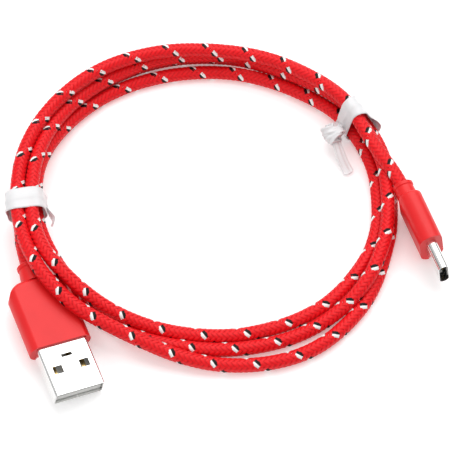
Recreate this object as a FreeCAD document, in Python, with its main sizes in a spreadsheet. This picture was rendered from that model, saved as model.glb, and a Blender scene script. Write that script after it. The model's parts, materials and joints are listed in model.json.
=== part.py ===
import FreeCAD, Part
import math
import os
import Sketcher

# Braided USB-A to USB-C charging cable, wound in a ring and held by two twist ties.
# Frame: millimetres, +Z up, the floor at Z = 0, the origin under the middle of the whole object.
# The ring lies flat, the USB-A plug is at its lower left (-X, -Y), the USB-C plug at its right (+X).

Vector = FreeCAD.Vector
doc = FreeCAD.newDocument("charging_cable")

DIMENSIONS = [
    # cord
    ("cord_diameter", 3.5),
    # ring of turns: half axes of the innermost turn's centre line, and its centre
    ("ring_half_x", 41.6),
    ("ring_half_y", 36.7),
    ("ring_center_x", -4.7),
    ("ring_center_y", 5.38),
    # USB-A plug: where its shell leaves the moulding, and how it lies
    ("plug_a_x", -37.9),
    ("plug_a_y", -35.62),
    ("plug_a_z", 4.25),
    ("plug_a_yaw", -67.0),
    ("plug_a_pitch", -3.0),
    ("plug_a_roll", -12.0),
    # USB-C plug: the same
    ("plug_c_x", 48.38),
    ("plug_c_y", -10.5),
    ("plug_c_z", 6.15),
    ("plug_c_yaw", -70.0),
    ("plug_c_pitch", -2.0),
    ("plug_c_roll", 100.0),
    # USB-A shell and what is in it
    ("shell_a_width", 12.0),
    ("shell_a_height", 4.5),
    ("shell_a_wall", 0.3),
    ("shell_a_corner", 0.7),
    ("shell_a_exposed", 12.2),
    ("shell_a_embedded", 6.5),
    ("window_width", 2.3),
    ("window_length", 2.0),
    ("window_offset", 3.2),
    ("window_setback", 6.0),
    ("slot_width", 2.6),
    ("slot_length", 0.8),
    ("slot_setback", 9.1),
    ("seam_width", 0.12),
    ("tongue_width", 11.2),
    ("tongue_thickness", 1.8),
    ("tongue_setback", 0.6),
    ("contact_a_width", 1.0),
    ("contact_a_height", 0.3),
    ("contact_a_groove", 0.2),
    ("contact_a_outer", 3.5),
    ("contact_a_inner", 1.0),
    ("contact_a_tail", 1.5),
    # USB-A moulding
    ("mould_a_flat", 11.8),
    ("mould_a_width", 15.0),
    ("mould_a_height", 6.0),
    ("mould_a_length", 17.5),
    ("mould_a_plan_corner", 4.2),
    ("mould_a_edge", 0.9),
    ("inner_a_length", 7.4),
    ("inner_a_width", 11.0),
    ("inner_a_height", 4.2),
    ("inner_a_wall", 1.0),
    ("relief_a_length", 5.0),
    ("relief_a_root", 3.0),
    ("relief_a_tip", 2.35),
    ("relief_rim", 0.2),
    ("relief_rim_length", 0.9),
    # shield crimps round the cord's ends
    ("crimp_wall", 0.35),
    ("crimp_length", 2.2),
    ("fit_gap", 0.05),
    # conductors
    ("wire_diameter", 0.7),
    # USB-C shell and what is in it
    ("shell_c_width", 8.34),
    ("shell_c_height", 2.56),
    ("shell_c_wall", 0.2),
    ("shell_c_exposed", 7.4),
    ("shell_c_embedded", 4.0),
    ("housing_c_setback", 1.6),
    ("housing_c_opening_width", 7.6),
    ("housing_c_opening_height", 1.8),
    ("housing_c_depth", 5.2),
    ("contact_c_width", 0.25),
    ("contact_c_pitch", 0.5),
    ("contact_c_thickness", 0.12),
    ("contact_c_length", 4.4),
    ("contact_c_level", 0.5),
    ("contact_c_bump", 0.14),
    ("latch_thickness", 0.2),
    ("latch_height", 0.7),
    ("latch_length", 4.6),
    ("latch_offset", 3.35),
    ("latch_hook", 0.3),
    ("spring_c_width", 4.8),
    ("spring_c_length", 1.1),
    ("spring_c_thickness", 0.1),
    # USB-C moulding
    ("mould_c_width", 12.0),
    ("mould_c_height", 5.7),
    ("mould_c_length", 13.3),
    ("mould_c_edge", 0.8),
    ("inner_c_length", 6.8),
    ("inner_c_width", 9.4),
    ("inner_c_height", 4.0),
    ("inner_c_cavity_width", 8.0),
    ("inner_c_cavity_height", 3.0),
    ("board_width", 7.4),
    ("board_length", 6.4),
    ("board_thickness", 0.8),
    ("resistor_length", 1.0),
    ("resistor_width", 0.5),
    ("resistor_height", 0.35),
    ("relief_c_length", 4.6),
    ("relief_c_root", 2.5),
    ("relief_c_tip", 2.35),
    # twist ties
    ("tie_thickness", 0.6),
    ("tie_wire", 0.3),
    ("tie_left_width", 5.6),
    ("tie_right_width", 5.4),
    ("tie_left_angle", 187.0),
    ("tie_right_angle", 35.0),
    ("tail_right_width", 2.6),
    ("tail_right_length", 10.0),
    ("tail_left_length", 6.5),
    ("tail_thickness", 0.6),
]

# One row for each place round the ring, clockwise seen from above: the angle, then the bundle's
# middle in cord diameters outward from the innermost turn, the height of its middle, its half width,
# its half height and its tilt (outer side up).
BUNDLE = [
    (184, 0.40, 7.1, 3.9, 3.9, 0),
    (165, 0.50, 6.3, 4.0, 4.4, 0),
    (145, 0.60, 5.5, 4.1, 5.0, 0),
    (122, 0.72, 5.3, 4.0, 5.1, 0),
    (98, 0.80, 5.25, 4.2, 5.0, 0),
    (68, 0.85, 5.25, 4.4, 4.9, 0),
    (38, 0.75, 5.6, 4.0, 4.8, 0),
    (14, 0.30, 3.7, 3.2, 3.3, 0),
    (-10, 0.35, 3.6, 3.3, 3.4, 0),
    (-34, 0.95, 3.1, 4.6, 2.9, 0),
    (-55, 1.45, 2.1, 6.0, 1.9, 0),
    (-72, 1.40, 2.1, 5.9, 1.9, 0),
    (-92, 0.95, 2.4, 4.9, 2.1, 6),
    (-110, 0.65, 3.8, 4.3, 3.3, 22),
    (-128, 0.72, 5.7, 4.6, 3.4, 34),
    (-146, 0.70, 6.4, 4.7, 3.4, 34),
    (-162, 0.50, 7.0, 4.2, 3.8, 16),
]

# Route of the cord's stretch from the USB-A collar to the ring, after the plug's own straight.
LEAD_A_ROUTE = [
    (-48.9, -2.22, 5.2),
    (-49.0, 4.28, 5.2),
]

# Route of the stretch from the ring's right tie to the USB-C plug, before the plug's own straight.
LEAD_C_ROUTE = [
    (30.73, 25.4, 8.2),
    (33.2, 21.68, 8.1),
    (37.3, 14.18, 7.3),
]

# Where each stretch starts inside its moulding, and how far it runs straight behind the collar.
LEAD_A_START = -14.6
LEAD_C_START = -12.0
LEAD_A_STRAIGHT = 2.5
LEAD_C_STRAIGHT = 1.0
BEND_FRACTION = 0.45


def make_sheet():
    sheet = doc.addObject("Spreadsheet::Sheet", "Dimensions")
    for row, (name, value) in enumerate(DIMENSIONS, start=1):
        sheet.set("A%d" % row, name)
        sheet.set("B%d" % row, str(value))
        sheet.setAlias("B%d" % row, name)
    doc.recompute()
    return sheet


sheet = make_sheet()


def size(name):
    return float(getattr(sheet, name))


def cell(expression):
    """Turns the plain names of an expression into references to the sheet's cells."""
    names = [name for name, value in DIMENSIONS]
    words = expression.replace("(", " ( ").replace(")", " ) ").split()
    return " ".join("Dimensions." + word if word in names else word for word in words)


def plug_placement(which):
    """Placement of a plug's own frame: X towards its mouth, Y across its width, Z its thickness."""
    yaw = FreeCAD.Rotation(Vector(0, 0, 1), size("plug_%s_yaw" % which))
    pitch = FreeCAD.Rotation(Vector(0, 1, 0), -size("plug_%s_pitch" % which))
    roll = FreeCAD.Rotation(Vector(1, 0, 0), size("plug_%s_roll" % which))
    base = Vector(size("plug_%s_x" % which), size("plug_%s_y" % which), size("plug_%s_z" % which))
    return FreeCAD.Placement(base, yaw.multiply(pitch).multiply(roll))


PLUG_A = plug_placement("a")
PLUG_C = plug_placement("c")
NODES = []


def keep(thing, label, placement=None):
    """Registers a finished sub-part under its node name and puts it in its place."""
    thing.Label = label
    if placement is not None:
        thing.Placement = placement
    NODES.append(thing)
    return thing


# ---------------------------------------------------------------- sketches and features

def new_body(name):
    return doc.addObject("PartDesign::Body", name + "_body")


def origin_plane(body, role):
    for feature in body.Origin.OriginFeatures:
        if feature.Role == role:
            return feature


def new_sketch(body, name, role, offset=None):
    sketch = body.newObject("Sketcher::SketchObject", name)
    sketch.AttachmentSupport = [(origin_plane(body, role), "")]
    sketch.MapMode = "FlatFace"
    if offset is not None:
        sketch.setExpression("AttachmentOffset.Base.z", cell(offset))
    return sketch


def constrain(sketch, kind, args, expression):
    index = sketch.addConstraint(Sketcher.Constraint(kind, *args))
    sketch.setExpression("Constraints[%d]" % index, cell(expression))


def line(sketch, start, end):
    return sketch.addGeometry(Part.LineSegment(Vector(*start, 0), Vector(*end, 0)), False)


def rectangle(sketch, width, height, center=None):
    """Rectangle about the sketch's origin, or about a centre given by two expressions."""
    corners = [(-2, -1), (2, -1), (2, 1), (-2, 1)]
    edges = [line(sketch, corners[i], corners[(i + 1) % 4]) for i in range(4)]
    for i in range(4):
        sketch.addConstraint(Sketcher.Constraint("Coincident", edges[i], 2, edges[(i + 1) % 4], 1))
    for i, way in enumerate(["Horizontal", "Vertical", "Horizontal", "Vertical"]):
        sketch.addConstraint(Sketcher.Constraint(way, edges[i]))
    constrain(sketch, "DistanceX", (edges[0], 1, edges[0], 2, 4.0), width)
    constrain(sketch, "DistanceY", (edges[1], 1, edges[1], 2, 2.0), height)
    if center is None:
        sketch.addConstraint(Sketcher.Constraint("Symmetric", edges[0], 1, edges[1], 2, -1, 1))
    else:
        constrain(sketch, "DistanceX", (-1, 1, edges[0], 1, -2.0), "%s - %s / 2" % (center[0], width))
        constrain(sketch, "DistanceY", (-1, 1, edges[0], 1, -1.0), "%s - %s / 2" % (center[1], height))
    return edges


def rounded(sketch, half_width, half_height, radius):
    """Rounded rectangle about the origin; its sizes are plain numbers taken from the sheet."""
    w, h, r = half_width, half_height, radius
    centers = [(w - r, h - r, 0), (r - w, h - r, 90), (r - w, r - h, 180), (w - r, r - h, 270)]
    for x, y, start in centers:
        circle = Part.Circle(Vector(x, y, 0), Vector(0, 0, 1), r)
        first = math.radians(start)
        sketch.addGeometry(Part.ArcOfCircle(circle, first, first + math.pi / 2), False)
    ends = [
        ((w - r, h), (r - w, h)),
        ((-w, h - r), (-w, r - h)),
        ((r - w, -h), (w - r, -h)),
        ((w, r - h), (w, h - r)),
    ]
    for i, (start, end) in enumerate(ends):
        if math.dist(start, end) > 1e-6:
            line(sketch, start, end)


def pad(body, sketch, name, length, reverse=False, midplane=False):
    feature = body.newObject("PartDesign::Pad", name)
    feature.Profile = sketch
    feature.setExpression("Length", cell(length))
    feature.Reversed = reverse
    feature.Midplane = midplane
    sketch.Visibility = False
    doc.recompute()
    return feature


def pocket(body, sketch, name, length, reverse=False, midplane=False):
    before = body.Shape.Volume
    feature = body.newObject("PartDesign::Pocket", name)
    feature.Profile = sketch
    feature.setExpression("Length", cell(length))
    feature.Reversed = reverse
    feature.Midplane = midplane
    sketch.Visibility = False
    doc.recompute()
    if not body.Shape.Volume < before - 1e-6:
        raise RuntimeError("pocket %s cuts nothing" % name)
    return feature


def fillet(body, base, name, radius, wanted):
    """Rounds the edges of the last feature whose middle point satisfies a test."""
    edges = []
    for index, edge in enumerate(base.Shape.Edges, start=1):
        middle = edge.valueAt((edge.FirstParameter + edge.LastParameter) / 2)
        if wanted(middle, edge):
            edges.append("Edge%d" % index)
    feature = body.newObject("PartDesign::Fillet", name)
    feature.Base = (base, edges)
    feature.setExpression("Radius", cell(radius))
    doc.recompute()
    return feature


def box(name, length, width, height, corner):
    """Part::Box whose sizes and lowest corner are expressions of the sheet."""
    solid = doc.addObject("Part::Box", name)
    for prop, expression in zip(("Length", "Width", "Height"), (length, width, height)):
        solid.setExpression(prop, cell(expression))
    for axis, expression in zip("xyz", corner):
        solid.setExpression("Placement.Base." + axis, cell(expression))
    return solid


def placed_box(label, length, width, height, corner, placement):
    """Box node whose lowest corner is given in a plug's own frame."""
    solid = doc.addObject("Part::Box", label)
    for prop, expression in zip(("Length", "Width", "Height"), (length, width, height)):
        solid.setExpression(prop, cell(expression))
    doc.recompute()
    local = FreeCAD.Placement(Vector(*corner), FreeCAD.Rotation())
    return keep(solid, label, placement.multiply(local))


def tube_x(name, outer, inner, length, start):
    """Ring along X: a cylinder less its bore, starting at X = start."""
    solids = []
    for part, radius in (("outside", outer), ("bore", inner)):
        cylinder = doc.addObject("Part::Cylinder", name + "_" + part)
        cylinder.setExpression("Radius", cell(radius))
        cylinder.setExpression("Height", cell(length))
        cylinder.Placement = FreeCAD.Placement(Vector(0, 0, 0), FreeCAD.Rotation(Vector(0, 1, 0), 90))
        cylinder.setExpression("Placement.Base.x", cell(start))
        solids.append(cylinder)
    ring = doc.addObject("Part::Cut", name)
    ring.Base = solids[0]
    ring.Tool = solids[1]
    return ring


# ---------------------------------------------------------------- cord routes

def arc_path(points):
    """Straight runs joined by tangent arcs, each as large as its two runs allow."""
    edges = []
    radii = []
    start = points[0]
    for before, corner, after in zip(points, points[1:], points[2:]):
        back = before.sub(corner)
        ahead = after.sub(corner)
        trim = BEND_FRACTION * min(back.Length, ahead.Length)
        half_turn = (math.pi - back.getAngle(ahead)) / 2
        radii.append(trim / math.tan(half_turn))
        back.normalize()
        ahead.normalize()
        first = corner.add(Vector(back).multiply(trim))
        last = corner.add(Vector(ahead).multiply(trim))
        inward = back.add(ahead).normalize()
        sag = radii[-1] * (1 / math.cos(half_turn) - 1)
        middle = corner.add(inward.multiply(sag))
        edges.append(Part.LineSegment(start, first).toShape())
        edges.append(Part.Arc(first, middle, last).toShape())
        start = last
    edges.append(Part.LineSegment(start, points[-1]).toShape())
    return Part.Wire(edges), radii


def tube(points, diameter):
    """Round tube swept along a route; returns the solid, the route's length and the bend radii."""
    path, radii = arc_path(points)
    direction = points[1].sub(points[0])
    section = Part.Wire(Part.Circle(points[0], direction, diameter / 2).toShape())
    solid = path.makePipeShell([section], True, False)
    expected = math.pi * (diameter / 2) ** 2 * path.Length
    if abs(solid.Volume / expected - 1) > 0.01:
        raise RuntimeError("tube volume %.2f, expected %.2f" % (solid.Volume, expected))
    return solid, path.Length, radii


def tube_node(label, points, diameter, placement=None):
    solid, length, radii = tube(points, diameter)
    feature = doc.addObject("Part::Feature", label)
    feature.Shape = solid
    print("%s: length %.1f, bend radii %s" % (label, length, ", ".join("%.1f" % r for r in radii)))
    return keep(feature, label, placement)


def ring_point(angle, lane, height):
    """Point of the ring at an angle, a number of cord diameters outward and a height."""
    reach = lane * size("cord_diameter")
    turn = math.radians(angle)
    x = size("ring_center_x") + (size("ring_half_x") + reach) * math.cos(turn)
    y = size("ring_center_y") + (size("ring_half_y") + reach) * math.sin(turn)
    return Vector(x, y, height)


def ring_frame(angle, lane, height, tilt=0):
    """Placement at a place on the ring: X outward, Y up, Z along the cord."""
    outward = ring_point(angle, lane + 1, height).sub(ring_point(angle, lane, height)).normalize()
    up = Vector(0, 0, 1)
    along = outward.cross(up)
    turn = FreeCAD.Rotation(outward, up, along, "ZXY")
    return FreeCAD.Placement(ring_point(angle, lane, height), turn.multiply(FreeCAD.Rotation(Vector(0, 0, 1), tilt)))


def plug_envelope(which, place):
    """Room that a plug's moulding and collar take where the turns pass it."""
    room = 0.1
    half_width = size("mould_%s_width" % which) / 2 + room
    half_height = size("mould_%s_height" % which) / 2 + room
    length = size("mould_%s_length" % which)
    block = Part.makeBox(length + 2 * room, 2 * half_width, 2 * half_height,
                         Vector(-length - room, -half_width, -half_height))
    collar_length = size("relief_%s_length" % which) + room
    collar = Part.makeCylinder(size("relief_%s_root" % which) + room, collar_length,
                               Vector(-length, 0, 0), Vector(-1, 0, 0))
    for solid in (block, collar):
        solid.Placement = place.multiply(solid.Placement)
    return block, collar


def make_cord():
    """The wound turns as one closed ring solid, and the two single stretches to the plugs."""
    sections = []
    circle = Part.Wire(Part.Circle(Vector(0, 0, 0), Vector(0, 0, 1), 1).toShape())
    for angle, lane, height, half_width, half_height, tilt in BUNDLE:
        stretch = FreeCAD.Matrix()
        stretch.scale(half_width, half_height, 1)
        oval = circle.transformGeometry(stretch)
        oval.Placement = ring_frame(angle, lane, height, tilt)
        sections.append(oval)
    turns = Part.makeLoft(sections, True, False, True)
    for which, place in (("a", PLUG_A), ("c", PLUG_C)):
        for solid in plug_envelope(which, place):
            turns = turns.cut(solid)
    coil = doc.addObject("Part::Feature", "cord_coil")
    coil.Shape = turns
    keep(coil, "cord_coil")

    cord = size("cord_diameter")
    tip_a = LEAD_A_START
    exit_a = -size("mould_a_length") - size("relief_a_length") - LEAD_A_STRAIGHT
    points = [PLUG_A.multVec(Vector(x, 0, 0)) for x in (tip_a, exit_a)]
    points += [Vector(*point) for point in LEAD_A_ROUTE]
    tube_node("usb_a_lead", points, cord)

    tip_c = LEAD_C_START
    exit_c = -size("mould_c_length") - size("relief_c_length") - LEAD_C_STRAIGHT
    points = [Vector(*point) for point in LEAD_C_ROUTE]
    points += [PLUG_C.multVec(Vector(x, 0, 0)) for x in (exit_c, tip_c)]
    tube_node("usb_c_lead", points, cord)


# ---------------------------------------------------------------- USB-A plug

def make_mould_a():
    """Outer moulding: flat faces, bulged sides, rounded rear corners, hollow for what it covers."""
    body = new_body("usb_a_overmould")
    section = new_sketch(body, "mould_a_section", "YZ_Plane")
    flat, wide, high = (size(n) / 2 for n in ("mould_a_flat", "mould_a_width", "mould_a_height"))
    line(section, (-flat, high), (flat, high))
    line(section, (flat, -high), (-flat, -high))
    for side in (1, -1):
        upper = Vector(side * flat, high, 0)
        lower = Vector(side * flat, -high, 0)
        section.addGeometry(Part.Arc(upper, Vector(side * wide, 0, 0), lower), False)
    pad(body, section, "mould_a_pad", "mould_a_length", reverse=True)

    plan = new_sketch(body, "mould_a_plan", "XY_Plane")
    corner = size("mould_a_plan_corner")
    margin = 4.0
    rear = -size("mould_a_length")
    outline = [(0, -wide), (rear + corner, -wide), (rear, -wide + corner), (rear, wide - corner),
               (rear + corner, wide), (0, wide)]
    for start, end in ((0, 1), (2, 3), (4, 5)):
        line(plan, outline[start], outline[end])
    for side in (-1, 1):
        center = Vector(rear + corner, side * (wide - corner), 0)
        circle = Part.Circle(center, Vector(0, 0, 1), corner)
        first = math.pi if side < 0 else math.pi / 2
        plan.addGeometry(Part.ArcOfCircle(circle, first, first + math.pi / 2), False)
    frame = [(0, -wide), (0, -wide - margin), (rear - margin, -wide - margin),
             (rear - margin, wide + margin), (0, wide + margin), (0, wide)]
    for start, end in zip(frame, frame[1:]):
        line(plan, start, end)
    rounded_rear = pocket(body, plan, "mould_a_corners", "mould_a_height * 2", midplane=True)

    def rear_edge(middle, edge):
        return middle.x < -0.1 and abs(abs(middle.z) - high) < 1e-3

    fillet(body, rounded_rear, "mould_a_rim", "mould_a_edge", rear_edge)
    mouth = new_sketch(body, "mould_a_mouth", "YZ_Plane")
    rectangle(mouth, "( shell_a_width + fit_gap )", "( shell_a_height + fit_gap )")
    pocket(body, mouth, "mould_a_mouth_cut", "shell_a_embedded + fit_gap")
    chamber = new_sketch(body, "mould_a_chamber", "YZ_Plane", "-1 * shell_a_embedded")
    rectangle(chamber, "( inner_a_width + fit_gap )", "( inner_a_height + fit_gap )")
    pocket(body, chamber, "mould_a_chamber_cut", "inner_a_length + 2 * fit_gap")
    bore = new_sketch(body, "mould_a_bore", "YZ_Plane")
    circle = bore.addGeometry(Part.Circle(Vector(0, 0, 0), Vector(0, 0, 1), 2.0), False)
    bore.addConstraint(Sketcher.Constraint("Coincident", circle, 3, -1, 1))
    constrain(bore, "Radius", (circle, 2.0), "cord_diameter / 2 + crimp_wall + fit_gap")
    pocket(body, bore, "mould_a_bore_cut", "mould_a_length + 1")
    keep(body, "usb_a_overmould", PLUG_A)


def make_relief(which, exit_length):
    """Collar behind a moulding: a tapered sleeve with a raised rim, bored for the cord."""
    label = "usb_%s_strain_relief" % which
    body = new_body(label)
    profile = new_sketch(body, "relief_%s_profile" % which, "XZ_Plane")
    start = -size(exit_length)
    end = start - size("relief_%s_length" % which)
    bore = size("cord_diameter") / 2 + size("fit_gap") / 2
    root, tip = size("relief_%s_root" % which), size("relief_%s_tip" % which)
    rim, rim_end = size("relief_rim"), end + size("relief_rim_length")
    step = rim_end + rim
    outline = [(start, bore), (start, root), (step, tip), (rim_end, tip + rim), (end + rim, tip + rim),
               (end, tip), (end, bore)]
    for first, last in zip(outline, outline[1:] + outline[:1]):
        line(profile, first, last)
    turned = body.newObject("PartDesign::Revolution", "relief_%s_turn" % which)
    turned.Profile = profile
    turned.ReferenceAxis = (profile, ["H_Axis"])
    turned.Angle = 360
    profile.Visibility = False
    doc.recompute()
    keep(body, label, PLUG_A if which == "a" else PLUG_C)


def shell_ring(body, which, round_corner):
    """Pad of a shell's ring section, from its embedded end to its mouth."""
    ring = new_sketch(body, "shell_%s_ring" % which, "YZ_Plane", "-1 * shell_%s_embedded" % which)
    half_width, half_height = size("shell_%s_width" % which) / 2, size("shell_%s_height" % which) / 2
    wall = size("shell_%s_wall" % which)
    rounded(ring, half_width, half_height, round_corner)
    rounded(ring, half_width - wall, half_height - wall, round_corner - wall)
    return pad(body, ring, "shell_%s_pad" % which, "shell_%s_embedded + shell_%s_exposed" % (which, which))


def make_shell_a():
    body = new_body("usb_a_shell")
    shell_ring(body, "a", size("shell_a_corner"))
    windows = new_sketch(body, "shell_a_windows", "XY_Plane")
    for side in ("window_offset", "-1 * window_offset"):
        rectangle(windows, "window_length", "window_width", ("shell_a_exposed - window_setback", side))
    pocket(body, windows, "shell_a_window_cut", "shell_a_height * 2", midplane=True)
    slot = new_sketch(body, "shell_a_slot", "XY_Plane")
    rectangle(slot, "slot_length", "slot_width", ("shell_a_exposed - slot_setback", "0 * slot_width"))
    pocket(body, slot, "shell_a_slot_cut", "shell_a_height", reverse=True)
    seam = new_sketch(body, "shell_a_seam", "XY_Plane")
    rectangle(seam, "( shell_a_exposed * 4 )", "seam_width")
    pocket(body, seam, "shell_a_seam_cut", "shell_a_height")
    keep(body, "usb_a_shell", PLUG_A)


CONTACTS_A = [("power", -1, "outer", 0.0), ("data_minus", -1, "inner", 1.0),
              ("data_plus", 1, "inner", 1.0), ("ground", 1, "outer", 0.0)]


def make_tongue_a():
    """White insulator on the shell's seam side, with a groove for each contact."""
    body = new_body("usb_a_tongue")
    outline = new_sketch(body, "tongue_a_outline", "XY_Plane", "-1 * tongue_thickness")
    front, rear = "( shell_a_exposed - tongue_setback )", "( shell_a_embedded - fit_gap )"
    length = "( shell_a_exposed - tongue_setback + shell_a_embedded - fit_gap )"
    middle = "( shell_a_exposed - tongue_setback - shell_a_embedded + fit_gap ) / 2"
    rectangle(outline, length, "tongue_width", (middle, "0 * tongue_width"))
    block = pad(body, outline, "tongue_a_block", "tongue_thickness")

    def front_edge(middle, edge):
        return middle.x > size("shell_a_exposed") - size("tongue_setback") - 1e-3 and abs(middle.y) < 1e-3

    fillet(body, block, "tongue_a_lead_in", "contact_a_height", front_edge)
    grooves = new_sketch(body, "tongue_a_grooves", "XY_Plane")
    for name, side, place, shorter in CONTACTS_A:
        center = "%d * contact_a_%s" % (side, place)
        rectangle(grooves, length, "( contact_a_width + fit_gap )", (middle + " - 1 - %g" % shorter, center))
    pocket(body, grooves, "tongue_a_groove_cut", "contact_a_groove")
    keep(body, "usb_a_tongue", PLUG_A)


def make_contacts_a():
    for name, side, place, shorter in CONTACTS_A:
        length = "shell_a_exposed - tongue_setback + shell_a_embedded + contact_a_tail - 1 - %g" % shorter
        corner = ("-1 * shell_a_embedded - contact_a_tail",
                  "%d * contact_a_%s - contact_a_width / 2" % (side, place),
                  "-1 * contact_a_groove")
        strip = box("contact_a_" + name + "_strip", length, "contact_a_width", "contact_a_height", corner)
        doc.recompute()
        rounded_tip = doc.addObject("Part::Fillet", "contact_a_" + name)
        rounded_tip.Base = strip
        tip = []
        for index, edge in enumerate(strip.Shape.Edges, start=1):
            if edge.CenterOfMass.x > 9 and edge.CenterOfMass.z > 0 and abs(edge.tangentAt(0).y) > 0.9:
                tip.append((index, size("contact_a_groove"), size("contact_a_groove")))
        rounded_tip.Edges = tip
        doc.recompute()
        keep(rounded_tip, "usb_a_contact_" + name, PLUG_A)


def make_inside_a():
    """Inner moulding behind the shell, the four conductors in it and the shield's crimp."""
    rear = "-1 * shell_a_embedded - inner_a_length - fit_gap"
    block = box("inner_a_block", "inner_a_length", "inner_a_width", "inner_a_height",
                (rear, "-1 * inner_a_width / 2", "-1 * inner_a_height / 2"))
    cavity = box("inner_a_cavity", "inner_a_length * 3", "inner_a_width - inner_a_wall * 2",
                 "inner_a_height - inner_a_wall * 2",
                 (rear + " - inner_a_length", "inner_a_wall - inner_a_width / 2",
                  "inner_a_wall - inner_a_height / 2"))
    sleeve = doc.addObject("Part::Cut", "inner_a_sleeve")
    sleeve.Base = block
    sleeve.Tool = cavity
    doc.recompute()
    keep(sleeve, "usb_a_inner_mould", PLUG_A)
    crimp = tube_x("crimp_a", "cord_diameter / 2 + crimp_wall", "cord_diameter / 2", "crimp_length",
                   "-1 * mould_a_length + fit_gap")
    keep(crimp, "usb_a_crimp", PLUG_A)
    wire = size("wire_diameter")
    height = size("contact_a_height") - size("contact_a_groove") + wire / 2
    front = -size("shell_a_embedded") - 0.3
    back = LEAD_A_START + 0.02
    for index, (name, side, place, shorter) in enumerate(CONTACTS_A):
        outer = side * size("contact_a_" + place)
        center = 0.55 * (1 if index > 1 else -1)
        level = 0.55 if index in (1, 2) else -0.55
        points = [(front, outer, height), (front - 2.2, outer, height),
                  (back + 2.2, center, level), (back, center, level)]
        tube_node("usb_a_wire_" + name, [Vector(*point) for point in points], wire, PLUG_A)


# ---------------------------------------------------------------- USB-C plug

def make_mould_c():
    """Outer moulding: a flat bar with half-round edges, softened at both ends."""
    body = new_body("usb_c_overmould")
    section = new_sketch(body, "mould_c_section", "YZ_Plane")
    half_width, half_height = size("mould_c_width") / 2, size("mould_c_height") / 2
    rounded(section, half_width, half_height, half_height - 0.01)
    bar = pad(body, section, "mould_c_pad", "mould_c_length", reverse=True)

    def rear_rim(middle, edge):
        return middle.x < -size("mould_c_length") + 1e-3

    fillet(body, bar, "mould_c_rim", "mould_c_edge", rear_rim)
    mouth = new_sketch(body, "mould_c_mouth", "YZ_Plane")
    gap = size("fit_gap") / 2
    half_width, half_height = size("shell_c_width") / 2 + gap, size("shell_c_height") / 2 + gap
    rounded(mouth, half_width, half_height, half_height - 0.01)
    pocket(body, mouth, "mould_c_mouth_cut", "shell_c_embedded + fit_gap")
    chamber = new_sketch(body, "mould_c_chamber", "YZ_Plane", "-1 * shell_c_embedded")
    rectangle(chamber, "( inner_c_width + fit_gap )", "( inner_c_height + fit_gap )")
    pocket(body, chamber, "mould_c_chamber_cut", "inner_c_length + 2 * fit_gap")
    bore = new_sketch(body, "mould_c_bore", "YZ_Plane", "-1 * shell_c_embedded")
    circle = bore.addGeometry(Part.Circle(Vector(0, 0, 0), Vector(0, 0, 1), 2.0), False)
    bore.addConstraint(Sketcher.Constraint("Coincident", circle, 3, -1, 1))
    constrain(bore, "Radius", (circle, 2.0), "cord_diameter / 2 + crimp_wall + fit_gap")
    pocket(body, bore, "mould_c_bore_cut", "mould_c_length + 1")
    keep(body, "usb_c_overmould", PLUG_C)


def make_shell_c():
    body = new_body("usb_c_shell")
    shell_ring(body, "c", size("shell_c_height") / 2 - 0.01)
    keep(body, "usb_c_shell", PLUG_C)


def make_housing_c():
    """Plastic lining of the shell, open at the front for the socket's tongue."""
    body = new_body("usb_c_housing")
    section = new_sketch(body, "housing_c_section", "YZ_Plane", "-1 * shell_c_embedded")
    inset = size("shell_c_wall") + size("fit_gap") / 2
    half_width, half_height = size("shell_c_width") / 2 - inset, size("shell_c_height") / 2 - inset
    rounded(section, half_width, half_height, half_height - 0.01)
    pad(body, section, "housing_c_pad", "shell_c_embedded + shell_c_exposed - housing_c_setback")
    opening = new_sketch(body, "housing_c_opening", "YZ_Plane", "shell_c_exposed - housing_c_setback")
    rectangle(opening, "housing_c_opening_width", "housing_c_opening_height")
    pocket(body, opening, "housing_c_opening_cut", "housing_c_depth")
    keep(body, "usb_c_housing", PLUG_C)


def make_contacts_c(side, label):
    """One row of spring contacts, each a thin beam with a raised tip, joined by a carrier strip."""
    beams = []
    rear = size("shell_c_exposed") - size("housing_c_setback") - size("housing_c_depth") + 0.1
    level, thick = size("contact_c_level"), size("contact_c_thickness")
    bump = size("contact_c_bump")
    length = size("contact_c_length")
    profile = [(0, level), (length - 1.2, level), (length - 0.7, level - bump), (length - 0.3, level - bump),
               (length, level), (length, level + thick), (length - 0.3, level - bump + thick),
               (length - 0.7, level - bump + thick), (length - 1.2, level + thick), (0, level + thick)]
    corners = [Vector(rear + x, 0, side * z) for x, z in profile]
    face = Part.Face(Part.makePolygon(corners + corners[:1]))
    width, pitch = size("contact_c_width"), size("contact_c_pitch")
    for index in range(12):
        if side < 0 and 4 <= index <= 7:
            continue
        beam = face.extrude(Vector(0, width, 0))
        beam.translate(Vector(0, (index - 5.5) * pitch - width / 2, 0))
        beams.append(beam)
    low = level if side > 0 else -level - thick
    carrier = Part.makeBox(0.5, 11 * pitch + width, thick, Vector(rear, -5.5 * pitch - width / 2, low))
    row = carrier.multiFuse(beams).removeSplitter()
    feature = doc.addObject("Part::Feature", label)
    feature.Shape = row
    keep(feature, label, PLUG_C)


def make_latch(side, label):
    """Side latch: a thin beam whose hooked tip grips the socket's tongue."""
    rear = size("shell_c_exposed") - size("housing_c_setback") - size("housing_c_depth") + 0.1
    offset, thick, hook = size("latch_offset"), size("latch_thickness"), size("latch_hook")
    length = size("latch_length")
    profile = [(0, offset), (length - 1.0, offset), (length - 0.6, offset - hook), (length - 0.3, offset - hook),
               (length, offset), (length, offset + thick), (0, offset + thick)]
    half = size("latch_height") / 2
    corners = [Vector(rear + x, side * y, -half) for x, y in profile]
    beam = Part.Face(Part.makePolygon(corners + corners[:1])).extrude(Vector(0, 0, 2 * half))
    feature = doc.addObject("Part::Feature", label)
    feature.Shape = beam
    keep(feature, label, PLUG_C)


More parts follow.
